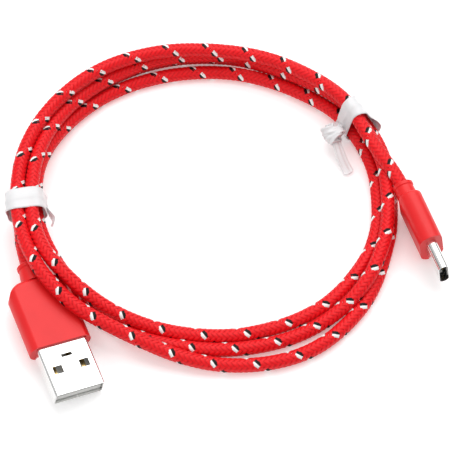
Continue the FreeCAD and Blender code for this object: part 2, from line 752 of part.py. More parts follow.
def make_inside_c():
    """Grounding springs, circuit card, resistor, inner moulding, conductors and crimp."""
    front = size("shell_c_exposed") - size("housing_c_setback") + size("fit_gap")
    top = size("shell_c_height") / 2 - size("shell_c_wall") - size("fit_gap")
    across, thick = -size("spring_c_width") / 2, size("spring_c_thickness")
    for label, low in (("usb_c_ground_spring_upper", top - thick), ("usb_c_ground_spring_lower", -top)):
        placed_box(label, "spring_c_length", "spring_c_width", "spring_c_thickness", (front, across, low), PLUG_C)
    card_rear = -size("shell_c_embedded") - size("fit_gap") - size("board_length")
    placed_box("usb_c_circuit_board", "board_length", "board_width", "board_thickness",
               (card_rear, -size("board_width") / 2, -size("board_thickness") / 2), PLUG_C)
    placed_box("usb_c_resistor", "resistor_length", "resistor_width", "resistor_height",
               (-size("shell_c_embedded") - 2.2, 1.2, size("board_thickness") / 2), PLUG_C)
    rear = "-1 * shell_c_embedded - inner_c_length - fit_gap"
    block = box("inner_c_block", "inner_c_length", "inner_c_width", "inner_c_height",
                (rear, "-1 * inner_c_width / 2", "-1 * inner_c_height / 2"))
    cavity = box("inner_c_cavity", "inner_c_length * 3", "inner_c_cavity_width", "inner_c_cavity_height",
                 (rear + " - inner_c_length", "-1 * inner_c_cavity_width / 2", "-1 * inner_c_cavity_height / 2"))
    sleeve = doc.addObject("Part::Cut", "inner_c_sleeve")
    sleeve.Base = block
    sleeve.Tool = cavity
    doc.recompute()
    keep(sleeve, "usb_c_inner_mould", PLUG_C)
    crimp = tube_x("crimp_c", "cord_diameter / 2 + crimp_wall", "cord_diameter / 2", "crimp_length",
                   "-1 * mould_c_length + fit_gap")
    keep(crimp, "usb_c_crimp", PLUG_C)
    wire = size("wire_diameter")
    face = size("board_thickness") / 2 + wire / 2
    front = -size("shell_c_embedded") - size("board_length") + 1.0
    back = LEAD_C_START + 0.02
    rows = [("power", -2.4, 1), ("data_minus", -0.8, 1), ("data_plus", 0.8, 1), ("ground", 2.4, 1)]
    for index, (name, across, side) in enumerate(rows):
        center = 0.55 * (1 if index > 1 else -1)
        level = 0.55 if index in (1, 2) else -0.55
        points = [(front, across, face), (front - 0.7, across, face),
                  (back + 0.7, center, level), (back, center, level)]
        tube_node("usb_c_wire_" + name, [Vector(*point) for point in points], wire, PLUG_C)


# ---------------------------------------------------------------- twist ties

def ring_section(angle):
    """The bundle's oval at an angle, between the rows of BUNDLE."""
    rows = sorted(BUNDLE)
    wrapped = rows + [(rows[0][0] + 360,) + rows[0][1:]]
    turned = angle if angle >= rows[0][0] else angle + 360
    for first, last in zip(wrapped, wrapped[1:]):
        if first[0] <= turned <= last[0]:
            share = (turned - first[0]) / (last[0] - first[0])
            return [a + share * (b - a) for a, b in zip(first[1:], last[1:])]


def make_tie(which):
    """Ribbon closed round the bundle with its wire core inside, a twisted knot and a tail."""
    angle = size("tie_%s_angle" % which)
    lane, height, half_width, half_height, tilt = ring_section(angle)
    place = ring_frame(angle, lane, height, tilt)
    width, thick, core = size("tie_%s_width" % which), size("tie_thickness"), size("tie_wire")

    def oval_bar(grow, length):
        body = Part.makeCylinder(1, length, Vector(0, 0, -length / 2))
        stretch = FreeCAD.Matrix()
        stretch.scale(half_width + grow, half_height + grow, 1)
        return body.transformGeometry(stretch)

    clear = 0.15
    band = oval_bar(clear + thick, width).cut(oval_bar(clear, width + 1))
    middle = clear + (thick - core) / 2
    wire = oval_bar(middle + core, core).cut(oval_bar(middle, core * 3))
    edge = half_width + clear + thick / 2
    if which == "right":
        knot = Part.makeSphere(2.2, Vector(-edge - 1.6, -1.4, 1.0))
        tail = Part.makeBox(size("tail_thickness"), size("tail_right_width"), size("tail_right_length"))
        tail.translate(Vector(-edge - 2.0, -size("tail_right_width") / 2 - 1.4, 1.0))
        solid = band.fuse(knot).fuse(tail)
    else:
        root = Vector(-edge + 0.2, -0.5, 0.4)
        tail = Part.makeCone(1.3, 0.25, size("tail_left_length"), root, Vector(-0.45, -0.35, 0.82))
        solid = band.fuse(tail)
    solid = solid.cut(oval_bar(clear, 3 * width)).cut(wire)
    for label, shape in (("%s_twist_tie" % which, solid), ("%s_tie_wire" % which, wire)):
        feature = doc.addObject("Part::Feature", label)
        feature.Shape = shape
        keep(feature, label, place)


def write_parts():
    os.makedirs("parts", exist_ok=True)
    labels = [node.Label for node in NODES]
    if len(set(labels)) != len(labels) or len(labels) > 60:
        raise RuntimeError("node names repeat or are too many")
    for thing in doc.Objects:
        if any(word in thing.State for word in ("Invalid", "Error")):
            raise RuntimeError("%s failed: %s" % (thing.Label, thing.State))
    whole = FreeCAD.BoundBox()
    for node in NODES:
        if node.Shape.isNull() or not node.Shape.isValid():
            raise RuntimeError("%s has no valid shape" % node.Label)
        box_of_node = FreeCAD.BoundBox()
        for point in node.Shape.tessellate(0.05)[0]:
            box_of_node.add(point)
        whole.add(box_of_node)
        if box_of_node.ZMin < 0 or len(node.Shape.Solids) != 1:
            raise RuntimeError("%s is below the floor (%.2f) or not one solid" % (node.Label, box_of_node.ZMin))
        node.Shape.exportStep("parts/%s.step" % node.Label)
    print("%d nodes, X %.2f..%.2f Y %.2f..%.2f Z %.2f..%.2f" % (
        len(NODES), whole.XMin, whole.XMax, whole.YMin, whole.YMax, whole.ZMin, whole.ZMax))


make_cord()
make_mould_a()
make_relief("a", "mould_a_length")
make_shell_a()
make_tongue_a()
make_contacts_a()
make_inside_a()
make_mould_c()
make_relief("c", "mould_c_length")
make_shell_c()
make_housing_c()
make_contacts_c(1, "usb_c_contacts_upper")
make_contacts_c(-1, "usb_c_contacts_lower")
make_latch(1, "usb_c_latch_left")
make_latch(-1, "usb_c_latch_right")
make_inside_c()
make_tie("left")
make_tie("right")
doc.recompute()
write_parts()
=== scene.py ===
import json
import math

import bpy
import numpy as np
from mathutils import Euler, Matrix, Vector

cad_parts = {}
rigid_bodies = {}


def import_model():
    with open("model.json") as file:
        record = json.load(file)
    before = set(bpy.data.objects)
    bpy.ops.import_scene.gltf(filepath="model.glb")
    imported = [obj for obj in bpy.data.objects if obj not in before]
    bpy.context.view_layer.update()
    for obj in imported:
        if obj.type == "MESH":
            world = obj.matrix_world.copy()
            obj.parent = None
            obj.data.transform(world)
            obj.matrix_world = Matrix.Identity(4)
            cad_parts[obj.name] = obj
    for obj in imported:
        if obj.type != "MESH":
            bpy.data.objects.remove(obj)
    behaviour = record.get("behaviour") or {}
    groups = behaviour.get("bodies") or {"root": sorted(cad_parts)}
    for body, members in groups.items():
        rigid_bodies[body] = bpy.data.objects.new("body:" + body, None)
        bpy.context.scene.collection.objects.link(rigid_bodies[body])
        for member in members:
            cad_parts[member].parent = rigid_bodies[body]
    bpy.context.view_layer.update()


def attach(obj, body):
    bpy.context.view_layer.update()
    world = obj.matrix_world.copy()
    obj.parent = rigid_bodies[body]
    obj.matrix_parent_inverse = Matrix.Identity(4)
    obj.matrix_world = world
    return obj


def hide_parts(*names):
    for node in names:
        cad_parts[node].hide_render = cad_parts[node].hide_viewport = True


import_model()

MM = 0.001
CABLE = "cable"
scene = bpy.context.scene
scene.view_settings.view_transform = "Standard"


# ---------------------------------------------------------------- camera

TARGET = Vector((-0.2, -0.82, 0.0)) * MM
ELEVATION = math.radians(60.0)
DISTANCE = 430.0 * MM
LENS = 142.8

camera_data = bpy.data.cameras.new("camera")
camera = bpy.data.objects.new("camera", camera_data)
scene.collection.objects.link(camera)
camera_data.sensor_width = 36.0
camera_data.lens = LENS
camera_data.clip_start = 0.01
camera_data.clip_end = 20.0
camera.location = TARGET + Vector((0, -math.cos(ELEVATION), math.sin(ELEVATION))) * DISTANCE
camera.rotation_euler = Euler((math.radians(90) - ELEVATION, 0, 0))
scene.camera = camera


# ---------------------------------------------------------------- places

def plug_matrix(base, yaw, pitch, roll):
    """A plug's own frame: X towards its mouth, Y across its width, Z its thickness; in mm."""
    turn = (Matrix.Rotation(math.radians(yaw), 4, "Z") @ Matrix.Rotation(math.radians(-pitch), 4, "Y")
            @ Matrix.Rotation(math.radians(roll), 4, "X"))
    return Matrix.Translation(Vector(base)) @ turn


PLUG_A = plug_matrix((-37.9, -35.62, 4.25), -67.0, -3.0, -12.0)
PLUG_C = plug_matrix((48.38, -10.5, 6.15), -70.0, -2.0, 100.0)

CORD_D = 3.5
RING_X, RING_Y = 41.6, 36.7
RING_CENTER = Vector((-4.7, 5.38, 0))


def ring_point(angle, lane, height, swell=1.0):
    """Point at an angle of the ring, lane cord diameters outward of the innermost turn; in mm."""
    turn = math.radians(angle)
    reach = lane * CORD_D
    x = (RING_X + reach) * swell * math.cos(turn)
    y = (RING_Y + reach) * swell * math.sin(turn)
    return RING_CENTER + Vector((x, y, height))


def ring_matrix(angle, lane, height):
    """Frame at a place of the ring: X outward, Y up, Z clockwise along the cord; in mm."""
    here = ring_point(angle, lane, height)
    outward = (ring_point(angle, lane + 1, height) - here).normalized()
    up = Vector((0, 0, 1))
    along = outward.cross(up)
    turn = Matrix((outward, up, along)).transposed().to_4x4()
    return Matrix.Translation(here) @ turn


# ---------------------------------------------------------------- cord

# The cord's control points round the ring, clockwise seen from above, one turn after another:
# angle, cord diameters outward of the innermost turn, height of the centre line in mm.
TURN_1 = [
    (184, 0.9, 5.3), (165, 0.95, 4.9), (145, 1.2, 2.6), (125, 1.25, 1.8), (105, 1.5, 1.75),
    (85, 1.45, 1.85), (68, 0.8, 3.9), (50, 0.75, 5.1), (37, 0.8, 5.5), (15, 0.62, 5.0),
    (0, 0.5, 4.9), (-12, 0.72, 5.0), (-22, 0.95, 5.0), (-35, 1.3, 4.4), (-47, 1.35, 2.4),
    (-60, 1.38, 1.75),
    (-72, 1.27, 1.75), (-85, 1.12, 1.75), (-97, 0.92, 1.75), (-110, 0.9, 2.0), (-122, 0.55, 1.75),
    (-135, -0.08, 1.8), (-150, -0.28, 2.4), (-163, -0.16, 4.4), (-176, -0.2, 5.1),
]
TURN_2 = [
    (165, 0.0, 4.4), (145, 0.1, 2.3), (125, 0.2, 1.75), (105, 0.13, 1.75), (85, 0.17, 1.75),
    (68, 0.1, 1.75), (50, 0.12, 2.1), (37, 0.2, 2.35), (15, 0.05, 1.75), (-5, -0.05, 1.75),
    (-14, 0.1, 1.75), (-26, 0.21, 1.75), (-45, 0.34, 1.75), (-60, 0.33, 1.75), (-75, 0.19, 1.75),
    (-85, 0.11, 1.75), (-98, -0.04, 1.75), (-110, -0.03, 2.6), (-122, 0.12, 4.9), (-135, 0.2, 7.6),
    (-150, 0.38, 9.7), (-163, 0.2, 9.4), (-176, -0.05, 8.7),
]
TURN_3 = [
    (165, 0.05, 8.0), (145, 0.5, 5.8), (125, 0.75, 5.1), (105, 1.05, 4.9), (85, 0.98, 4.85),
    (68, 1.7, 2.0), (50, 1.4, 2.1), (37, 1.35, 2.35), (15, 1.05, 1.75), (-10, 0.88, 1.75),
    (-22, 1.15, 1.75), (-35, 1.8, 1.75), (-47, 2.3, 1.75), (-60, 2.75, 1.75), (-72, 2.65, 1.75),
    (-85, 2.25, 1.75), (-97, 1.8, 3.0), (-110, 1.38, 5.2), (-122, 1.38, 7.2), (-131, 1.5, 8.2),
    (-143, 1.45, 9.8), (-153, 1.26, 9.8), (-162, 1.12, 9.4), (-176, 0.95, 8.9),
]
LAST_ARC = [
    (165, 1.0, 8.8), (145, 1.05, 8.8), (125, 1.2, 8.6), (105, 1.0, 8.4), (85, 0.73, 8.2),
    (68, 0.75, 8.0), (50, 0.6, 8.4), (37, 0.53, 8.7),
]


# The cord's ends, in mm: along each plug's own X, and the free places between a plug and the ring.
LEAD_A_ALONG = (-14.6, -25.0)
LEAD_A_FREE = [(-48.9, -2.22, 5.2)]
LEAD_C_FREE = [(33.0, 22.48, 8.3), (36.9, 15.2, 7.6)]
LEAD_C_ALONG = (-19.6, -12.0)
LINE_STEPS = 26


def cord_route():
    """Control points of the whole cord, from inside the USB-A moulding to inside the USB-C one."""
    route = [PLUG_A @ Vector((along, 0, 0)) for along in LEAD_A_ALONG]
    route += [Vector(place) for place in LEAD_A_FREE]
    rows = TURN_1 + TURN_2 + TURN_3 + LAST_ARC
    for index, (angle, lane, height) in enumerate(rows):
        before = rows[max(index - 1, 0)][0]
        after = rows[min(index + 1, len(rows) - 1)][0]
        step = ((before - after) % 360) / (2 if 0 < index < len(rows) - 1 else 1)
        route.append(ring_point(angle, lane, height, 1 / math.cos(math.radians(step / 2))))
    route += [Vector(place) for place in LEAD_C_FREE]
    route += [PLUG_C @ Vector((along, 0, 0)) for along in LEAD_C_ALONG]
    return route


def cord_line(points, steps):
    """Points read from the smooth curve that has the route's points as its control points."""
    curve = bpy.data.curves.new("cord_line", "CURVE")
    curve.dimensions = "3D"
    curve.resolution_u = steps
    spline = curve.splines.new("NURBS")
    spline.points.add(len(points) - 1)
    for point, place in zip(spline.points, points):
        point.co = (*(place * MM), 1)
    spline.order_u = 3
    spline.use_endpoint_u = True
    holder = bpy.data.objects.new("cord_line", curve)
    scene.collection.objects.link(holder)
    bpy.context.view_layer.update()
    mesh = bpy.data.meshes.new_from_object(holder)
    line = np.empty(len(mesh.vertices) * 3)
    mesh.vertices.foreach_get("co", line)
    bpy.data.objects.remove(holder)
    bpy.data.curves.remove(curve)
    bpy.data.meshes.remove(mesh)
    return line.reshape(-1, 3)


def unit(rows):
    """Rows of numbers scaled to length one."""
    return rows / np.linalg.norm(rows, axis=-1, keepdims=True)


def carried_frames(line):
    """Two normals at each point of a line, carried along it without twisting."""
    ahead = unit(np.gradient(line, axis=0))
    side = np.cross(ahead[0], (0, 0, 1.0))
    first = np.empty_like(line)
    first[0] = side / np.linalg.norm(side)
    for i in range(1, len(line)):
        step = first[i - 1] - ahead[i] * np.dot(first[i - 1], ahead[i])
        first[i] = step / np.linalg.norm(step)
    return first, np.cross(ahead, first)


route = cord_route()
line = cord_line(route, LINE_STEPS)
apart = np.ones(len(line), bool)
apart[1:] = np.linalg.norm(np.diff(line, axis=0), axis=1) > 1e-6
line = line[apart]
run = np.concatenate([[0], np.cumsum(np.linalg.norm(np.diff(line, axis=0), axis=1))])
print("cord: %d control points, %d line points, length %.4f m" % (len(route), len(line), run[-1]))

# The woven cover: yarns each way, length of one turn, core and yarn radii, rise and fall at a crossing.
CARRIERS = 8
BRAID_PITCH = 9.9 * MM
CORE_R = 1.42 * MM
LAY_R = 1.61 * MM
WEAVE = 0.085 * MM
CORE_SIDES = 12

# One yarn is the tracer, half white and half black, wider and prouder than the others.
TRACER_WIDTH = 1.75
TRACER_RISE = 0.05 * MM

# Places across a yarn, as shares of its half width, and how far each stands out.
ACROSS = np.array([-0.96, -0.72, 0.0, 0.72, 0.96])
CROWN = np.array([-0.07, -0.02, 0.02, -0.02, -0.07]) * MM
RED_SLOT, WHITE_SLOT, BLACK_SLOT, CORE_SLOT = range(4)


def grid_faces(rows, columns, start, closed):
    """Quads of a grid of vertices, rows along and columns across."""
    row = np.arange(rows - 1)[:, None] * columns
    column = np.arange(columns if closed else columns - 1)[None, :]
    beside = (column + 1) % columns
    quads = np.stack([row + column, row + beside, row + columns + beside, row + columns + column], -1)
    return quads.reshape(-1, 4) + start


def braid_mesh(name, line, run, slots):
    """The woven cover: eight yarns each way, each over two and under two, on a plain core."""
    first, second = carried_frames(line)
    rows = len(line)
    turns = run / BRAID_PITCH
    points, quads, tints, uvs = [], [], [], []
    count = 0

    def add_strip(share, radius, closed, slot_index, across):
        """Surface along the cord, at shares of a turn and radii given for each line point."""
        nonlocal count
        angle = 2 * np.pi * share
        place = (line[:, None, :] + radius[..., None] * (
            np.cos(angle)[..., None] * first[:, None, :] + np.sin(angle)[..., None] * second[:, None, :]))
        faces = grid_faces(rows, share.shape[1], count, closed)
        points.append(place.reshape(-1, 3))
        quads.append(faces)
        tints.append(np.resize(np.asarray(slot_index), len(faces)))
        wide = np.broadcast_to(across, share.shape)
        long = np.broadcast_to(run[:, None] / MM, share.shape)
        uvs.append(np.stack([wide, long], -1).reshape(-1, 2))
        count += place.shape[0] * place.shape[1]

    core = np.broadcast_to(np.arange(CORE_SIDES)[None, :] / CORE_SIDES, (rows, CORE_SIDES))
    add_strip(core, np.full(core.shape, CORE_R), True, CORE_SLOT, np.zeros(CORE_SIDES))
    for way in (1, -1):
        for carrier in range(CARRIERS):
            middle = (carrier + 0.5) / CARRIERS - way * turns
            share = middle[:, None] + ACROSS[None, :] * 0.5 / CARRIERS
            crossing = CARRIERS * (share - way * turns[:, None])
            phase = np.pi / 2 * (carrier + crossing)
            wave = np.clip(1.5 * np.sin(phase), -1, 1) * way
            radius = LAY_R + WEAVE * wave + CROWN[None, :]
            slot_index = RED_SLOT
            if way < 0 and carrier == 0:
                slot_index = (WHITE_SLOT, WHITE_SLOT, BLACK_SLOT, BLACK_SLOT)
                share = middle[:, None] + ACROSS[None, :] * 0.5 * TRACER_WIDTH / CARRIERS
                radius = radius + TRACER_RISE
            add_strip(share, radius, False, slot_index, ACROSS)
    data = bpy.data.meshes.new(name)
    points = np.concatenate(points)
    quads = np.concatenate(quads)
    data.vertices.add(len(points))
    data.vertices.foreach_set("co", points.ravel())
    data.loops.add(quads.size)
    data.loops.foreach_set("vertex_index", quads.ravel().astype(np.int32))
    data.polygons.add(len(quads))
    data.polygons.foreach_set("loop_start", np.arange(0, quads.size, 4, dtype=np.int32))
    data.polygons.foreach_set("material_index", np.concatenate(tints).astype(np.int32))
    data.polygons.foreach_set("use_smooth", np.ones(len(quads), bool))
    layer = data.uv_layers.new(name="yarn")
    layer.data.foreach_set("uv", np.concatenate(uvs)[quads.ravel()].ravel())
    for material in slots:
        data.materials.append(material)
    data.update()
    data.validate()
    thing = bpy.data.objects.new(name, data)
    scene.collection.objects.link(thing)
    return thing


# ---------------------------------------------------------------- materials

class Nodes:
    """A material's node tree, with short calls to add and link nodes."""

    def __init__(self, name):
        self.material = bpy.data.materials.new(name)
        self.material.use_nodes = True
        self.tree = self.material.node_tree
        self.shader = self.tree.nodes["Principled BSDF"]

    def add(self, kind, **values):
        node = self.tree.nodes.new(kind)
        for key, value in values.items():
            if hasattr(node, key):
                setattr(node, key, value)
            else:
                node.inputs[key.replace("_", " ")].default_value = value
        return node

    def link(self, source, target):
        """Joins an output to an input."""
        self.tree.links.new(source, target)

    def set(self, **values):
        for key, value in values.items():
            self.shader.inputs[key.replace("_", " ")].default_value = value
        return self

    def math(self, operation, first, second=None):
        node = self.add("ShaderNodeMath", operation=operation)
        for index, source in enumerate((first, second)):
            if source is None:
                continue
            if isinstance(source, (int, float)):
                node.inputs[index].default_value = source
            else:
                self.link(source, node.inputs[index])
        return node.outputs[0]

    def ramp(self, source, stops):
        node = self.add("ShaderNodeValToRGB")
        elements = node.color_ramp.elements
        while len(elements) < len(stops):
            elements.new(0.5)
        for element, (place, color) in zip(elements, stops):
            element.position = place
            element.color = (*color, 1) if len(color) == 3 else color
        self.link(source, node.inputs[0])
        return node.outputs[0]

    def noise(self, scale, detail=3.0, rough=0.5, vector=None):
        node = self.add("ShaderNodeTexNoise", Scale=scale, Detail=detail, Roughness=rough)
        if vector is None:
            vector = self.add("ShaderNodeTexCoord").outputs["Object"]
        self.link(vector, node.inputs["Vector"])
        return node.outputs["Fac"]

    def bump(self, height, strength, distance):
        node = self.add("ShaderNodeBump", Strength=strength, Distance=distance)
        self.link(height, node.inputs["Height"])
        self.link(node.outputs[0], self.shader.inputs["Normal"])

    def paint(self, source):
        self.link(source, self.shader.inputs["Base Color"])

    def rough(self, source):
        self.link(source, self.shader.inputs["Roughness"])


def yarn(name, deep, full, roughness, sheen):
    """Braided yarn: fine filaments along the strand, with painted shade darkening its edges where it dips
    into the weave.
    """
    m = Nodes(name).set(Roughness=roughness, Sheen_Weight=sheen, Sheen_Roughness=0.4)
    m.shader.inputs["Specular IOR Level"].default_value = 0.25
    uv = m.add("ShaderNodeUVMap", uv_map="yarn").outputs[0]
    split = m.add("ShaderNodeSeparateXYZ")
    m.link(uv, split.inputs[0])
    stretch = m.add("ShaderNodeMapping")
    stretch.inputs["Scale"].default_value = (3.6, 0.55, 1.0)
    m.link(uv, stretch.inputs[0])
    strands = m.noise(1.6, 3.0, 0.55, stretch.outputs[0])
    filaments = m.math("SINE", m.math("MULTIPLY", split.outputs[0], 15.0))
    height = m.math("ADD", m.math("MULTIPLY", filaments, 0.35), strands)
    m.bump(height, 0.35, 0.00006)
    # Painted shade: the colour darkens towards the yarn's edges, standing in for shade in the grooves of the
    # weave.
    painted_edge_shade = m.math("MULTIPLY", m.math("ABSOLUTE", split.outputs[0]), 0.6)
    tone = m.math("SUBTRACT", m.math("ADD", strands, 0.25), painted_edge_shade)
    m.paint(m.ramp(tone, [(0.1, deep), (0.5, full)]))
    return m.material


def moulded(name, deep, full, roughness, grain=0.15, scale=2500.0):
    """Soft-touch moulded plastic: very fine grain, faint cloudiness."""
    m = Nodes(name).set(Roughness=roughness)
    m.shader.inputs["Specular IOR Level"].default_value = 0.35
    cloud = m.noise(110.0, 3.0, 0.5)
    m.paint(m.ramp(cloud, [(0.25, deep), (0.7, full)]))
    fine = m.noise(scale, 2.0, 0.6)
    m.bump(fine, grain, 0.00004)
    return m.material


def metal(name, color, roughness, streak=0.05, scale=(900.0, 60.0, 60.0)):
    """Plated sheet metal with faint drawing lines."""
    m = Nodes(name).set(Metallic=1.0)
    place = m.add("ShaderNodeTexCoord").outputs["Object"]
    stretch = m.add("ShaderNodeMapping")
    stretch.inputs["Scale"].default_value = scale
    m.link(place, stretch.inputs[0])
    lines = m.noise(1.0, 4.0, 0.6, stretch.outputs[0])
    dark = tuple(c * 0.86 for c in color)
    m.paint(m.ramp(lines, [(0.3, dark), (0.65, color)]))
    m.rough(m.math("ADD", m.math("MULTIPLY", lines, streak), roughness))
    m.bump(lines, 0.08, 0.00002)
    return m.material


def film(name, color):
    """Milky translucent plastic film of a twist tie."""
    m = Nodes(name).set(Roughness=0.32, IOR=1.46)
    m.shader.inputs["Transmission Weight"].default_value = 0.25
    cloud = m.noise(260.0, 3.0, 0.5)
    m.paint(m.ramp(cloud, [(0.2, tuple(c * 0.93 for c in color)), (0.75, color)]))
    m.bump(m.noise(1400.0, 2.0, 0.5), 0.15, 0.00004)
    return m.material


BRAID_RED = yarn("braid_red", (0.62, 0.002, 0.006), (0.82, 0.005, 0.01), 0.42, 0.03)
BRAID_WHITE = yarn("braid_white", (0.6, 0.58, 0.57), (0.93, 0.92, 0.9), 0.5, 0.1)
BRAID_BLACK = yarn("braid_black", (0.001, 0.001, 0.001), (0.004, 0.003, 0.003), 0.6, 0.0)
# The core shows only in the gaps between the yarns; its red, darker than theirs, is painted shade for those
# gaps.
BRAID_CORE = moulded("braid_core", (0.36, 0.002, 0.005), (0.44, 0.004, 0.008), 0.6)
MOULDING = moulded("moulding_red", (0.7, 0.01, 0.012), (0.78, 0.014, 0.016), 0.4)
NICKEL = metal("nickel_shell", (0.86, 0.86, 0.85), 0.16)
GOLD = metal("gold_contact", (0.92, 0.66, 0.3), 0.2)
STEEL = metal("spring_steel", (0.68, 0.67, 0.65), 0.25)
TONGUE = moulded("tongue_white", (0.6, 0.6, 0.58), (0.68, 0.68, 0.66), 0.5)
BLACK_PLASTIC = moulded("housing_black", (0.012, 0.012, 0.013), (0.02, 0.02, 0.021), 0.35)
CARD = moulded("card_green", (0.01, 0.12, 0.04), (0.015, 0.18, 0.06), 0.3)
INNER = moulded("inner_cream", (0.62, 0.58, 0.5), (0.72, 0.68, 0.6), 0.5)
WIRE = {
    "power": moulded("wire_red", (0.45, 0.01, 0.01), (0.6, 0.02, 0.02), 0.4),
    "ground": moulded("wire_black", (0.01, 0.01, 0.01), (0.02, 0.02, 0.02), 0.4),
    "data_minus": moulded("wire_white", (0.75, 0.75, 0.73), (0.85, 0.85, 0.83), 0.4),
    "data_plus": moulded("wire_green", (0.02, 0.28, 0.06), (0.03, 0.38, 0.09), 0.4),
}
TIE_FILM = film("tie_film", (0.93, 0.93, 0.94))

NODE_MATERIALS = {
    "usb_a_overmould": MOULDING, "usb_a_strain_relief": MOULDING,
    "usb_c_overmould": MOULDING, "usb_c_strain_relief": MOULDING,
    "usb_a_shell": NICKEL, "usb_c_shell": NICKEL, "usb_a_tongue": TONGUE, "usb_c_housing": BLACK_PLASTIC,
    "usb_c_contacts_upper": GOLD, "usb_c_contacts_lower": GOLD,
    "usb_c_latch_left": STEEL, "usb_c_latch_right": STEEL,
    "usb_c_ground_spring_upper": STEEL, "usb_c_ground_spring_lower": STEEL,
    "usb_a_crimp": STEEL, "usb_c_crimp": STEEL, "usb_a_inner_mould": INNER, "usb_c_inner_mould": INNER,
    "usb_c_circuit_board": CARD, "usb_c_resistor": BLACK_PLASTIC,
}
for contact in ("power", "data_minus", "data_plus", "ground"):
    NODE_MATERIALS["usb_a_contact_" + contact] = GOLD
    for which in ("a", "c"):
        NODE_MATERIALS["usb_%s_wire_%s" % (which, contact)] = WIRE[contact]
for node, material in NODE_MATERIALS.items():
    thing = bpy.data.objects[node]
    for holder in thing.material_slots:
        holder.material = material
    if not thing.material_slots:
        thing.data.materials.append(material)


# ---------------------------------------------------------------- the cord itself

braid = braid_mesh("cord_braid", line, run, [BRAID_RED, BRAID_WHITE, BRAID_BLACK, BRAID_CORE])
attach(braid, CABLE)
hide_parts("cord_coil", "usb_a_lead", "usb_c_lead")


# ---------------------------------------------------------------- twist ties

def mesh_piece(name, points, faces, material):
    """Smooth-shaded mesh of one material."""
    data = bpy.data.meshes.new(name)
    data.from_pydata([tuple(p) for p in points], [], faces)
    data.materials.append(material)
    for polygon in data.polygons:
        polygon.use_smooth = True
    data.update()
    thing = bpy.data.objects.new(name, data)
    scene.collection.objects.link(thing)
    return thing


# Sizes of the film, in mm: half width of its wire's bead, its rims, and how close it lies to the cords.
WIRE_SPREAD = 0.38
RIM_INSET, RIM_SPREAD = 0.3, 0.22
FILM_REACH = CORD_D / 2 + 0.3
FILM_LOWEST = 0.33
BAND_POINTS = 120


def wrapped(centers, reach, count):
    """Even points of the tightest loop round circles of one radius."""
    cloud = [(x + reach * math.cos(a), y + reach * math.sin(a))
             for x, y in centers for a in np.linspace(0, 2 * math.pi, 72, endpoint=False)]
    cloud = sorted(set(cloud))

    def chain(points):
        hull = []
        for p in points:
            while len(hull) > 1 and ((hull[-1][0] - hull[-2][0]) * (p[1] - hull[-2][1])
                                     - (hull[-1][1] - hull[-2][1]) * (p[0] - hull[-2][0])) <= 0:
                hull.pop()
            hull.append(p)
        return hull[:-1]

    loop = chain(cloud) + chain(cloud[::-1])
    loop = np.array(loop + loop[:1])
    length = np.concatenate([[0], np.cumsum(np.linalg.norm(np.diff(loop, axis=0), axis=1))])
    wanted = np.linspace(0, length[-1], count, endpoint=False)
    return np.stack([np.interp(wanted, length, loop[:, k]) for k in (0, 1)], -1)


def ribbon_section(width, thick, rib, steps=16):
    """Closed outline of a tie's ribbon: thin film, thicker over its wire and at its rims; (across, out)."""
    upper, lower = [], []
    for k in range(steps + 1):
        x = -width / 2 + width * k / steps
        rim = 0.5 * thick * (1.0 if 0 < k < steps else 0.4)
        bead = 0.5 * rib * math.exp(-((abs(x) - width / 2 + RIM_INSET) / RIM_SPREAD) ** 2)
        wire = rib * math.exp(-(x / WIRE_SPREAD) ** 2)
        upper.append((x, rim + wire + bead))
        lower.append((x, -rim - 0.4 * wire))
    return upper + lower[::-1]


def ribbon(name, places, widths, outs, closed=False, thick=0.3, rib=0.28):
    """Ribbon swept through places, facing outs, as wide as widths; all in mm."""
    rows = len(places)
    points, faces = [], []
    columns = 0
    for index in range(rows):
        if closed:
            before, after = places[index - 1], places[(index + 1) % rows]
        else:
            before, after = places[max(index - 1, 0)], places[min(index + 1, rows - 1)]
        along = (after - before).normalized()
        across = along.cross(outs[index]).normalized()
        out = across.cross(along).normalized()
        outline = ribbon_section(widths[index], thick, rib)
        columns = len(outline)
        for x, proud in outline:
            points.append((places[index] + across * x + out * proud) * MM)
    for i in range(rows if closed else rows - 1):
        for j in range(columns):
            a, b = i * columns + j, i * columns + (j + 1) % columns
            c, d = ((i + 1) % rows) * columns + (j + 1) % columns, ((i + 1) % rows) * columns + j
            faces.append((a, b, c, d))
    if not closed:
        faces.append(tuple(range(columns))[::-1])
        faces.append(tuple(range((rows - 1) * columns, rows * columns)))
    return mesh_piece(name, points, faces, TIE_FILM)


def smooth_path(points, count):
    """Even places on a Catmull-Rom line through a few points."""
    points = [Vector(p) for p in points]
    ends = [points[0] * 2 - points[1]] + points + [points[-1] * 2 - points[-2]]
    places = []
    for k in range(count):
        t = k / (count - 1) * (len(points) - 1)
        i = min(int(t), len(points) - 2)
        u = t - i
        p0, p1, p2, p3 = ends[i:i + 4]
        places.append(0.5 * ((2 * p1) + (p2 - p0) * u + (2 * p0 - 5 * p1 + 4 * p2 - p3) * u * u
                             + (3 * p1 - p0 - 3 * p2 + p3) * u ** 3))
    return places


def lanes(rows):
    """Centres in mm of strands given in cord diameters outward and mm up."""
    return [(lane * CORD_D, height) for lane, height in rows]


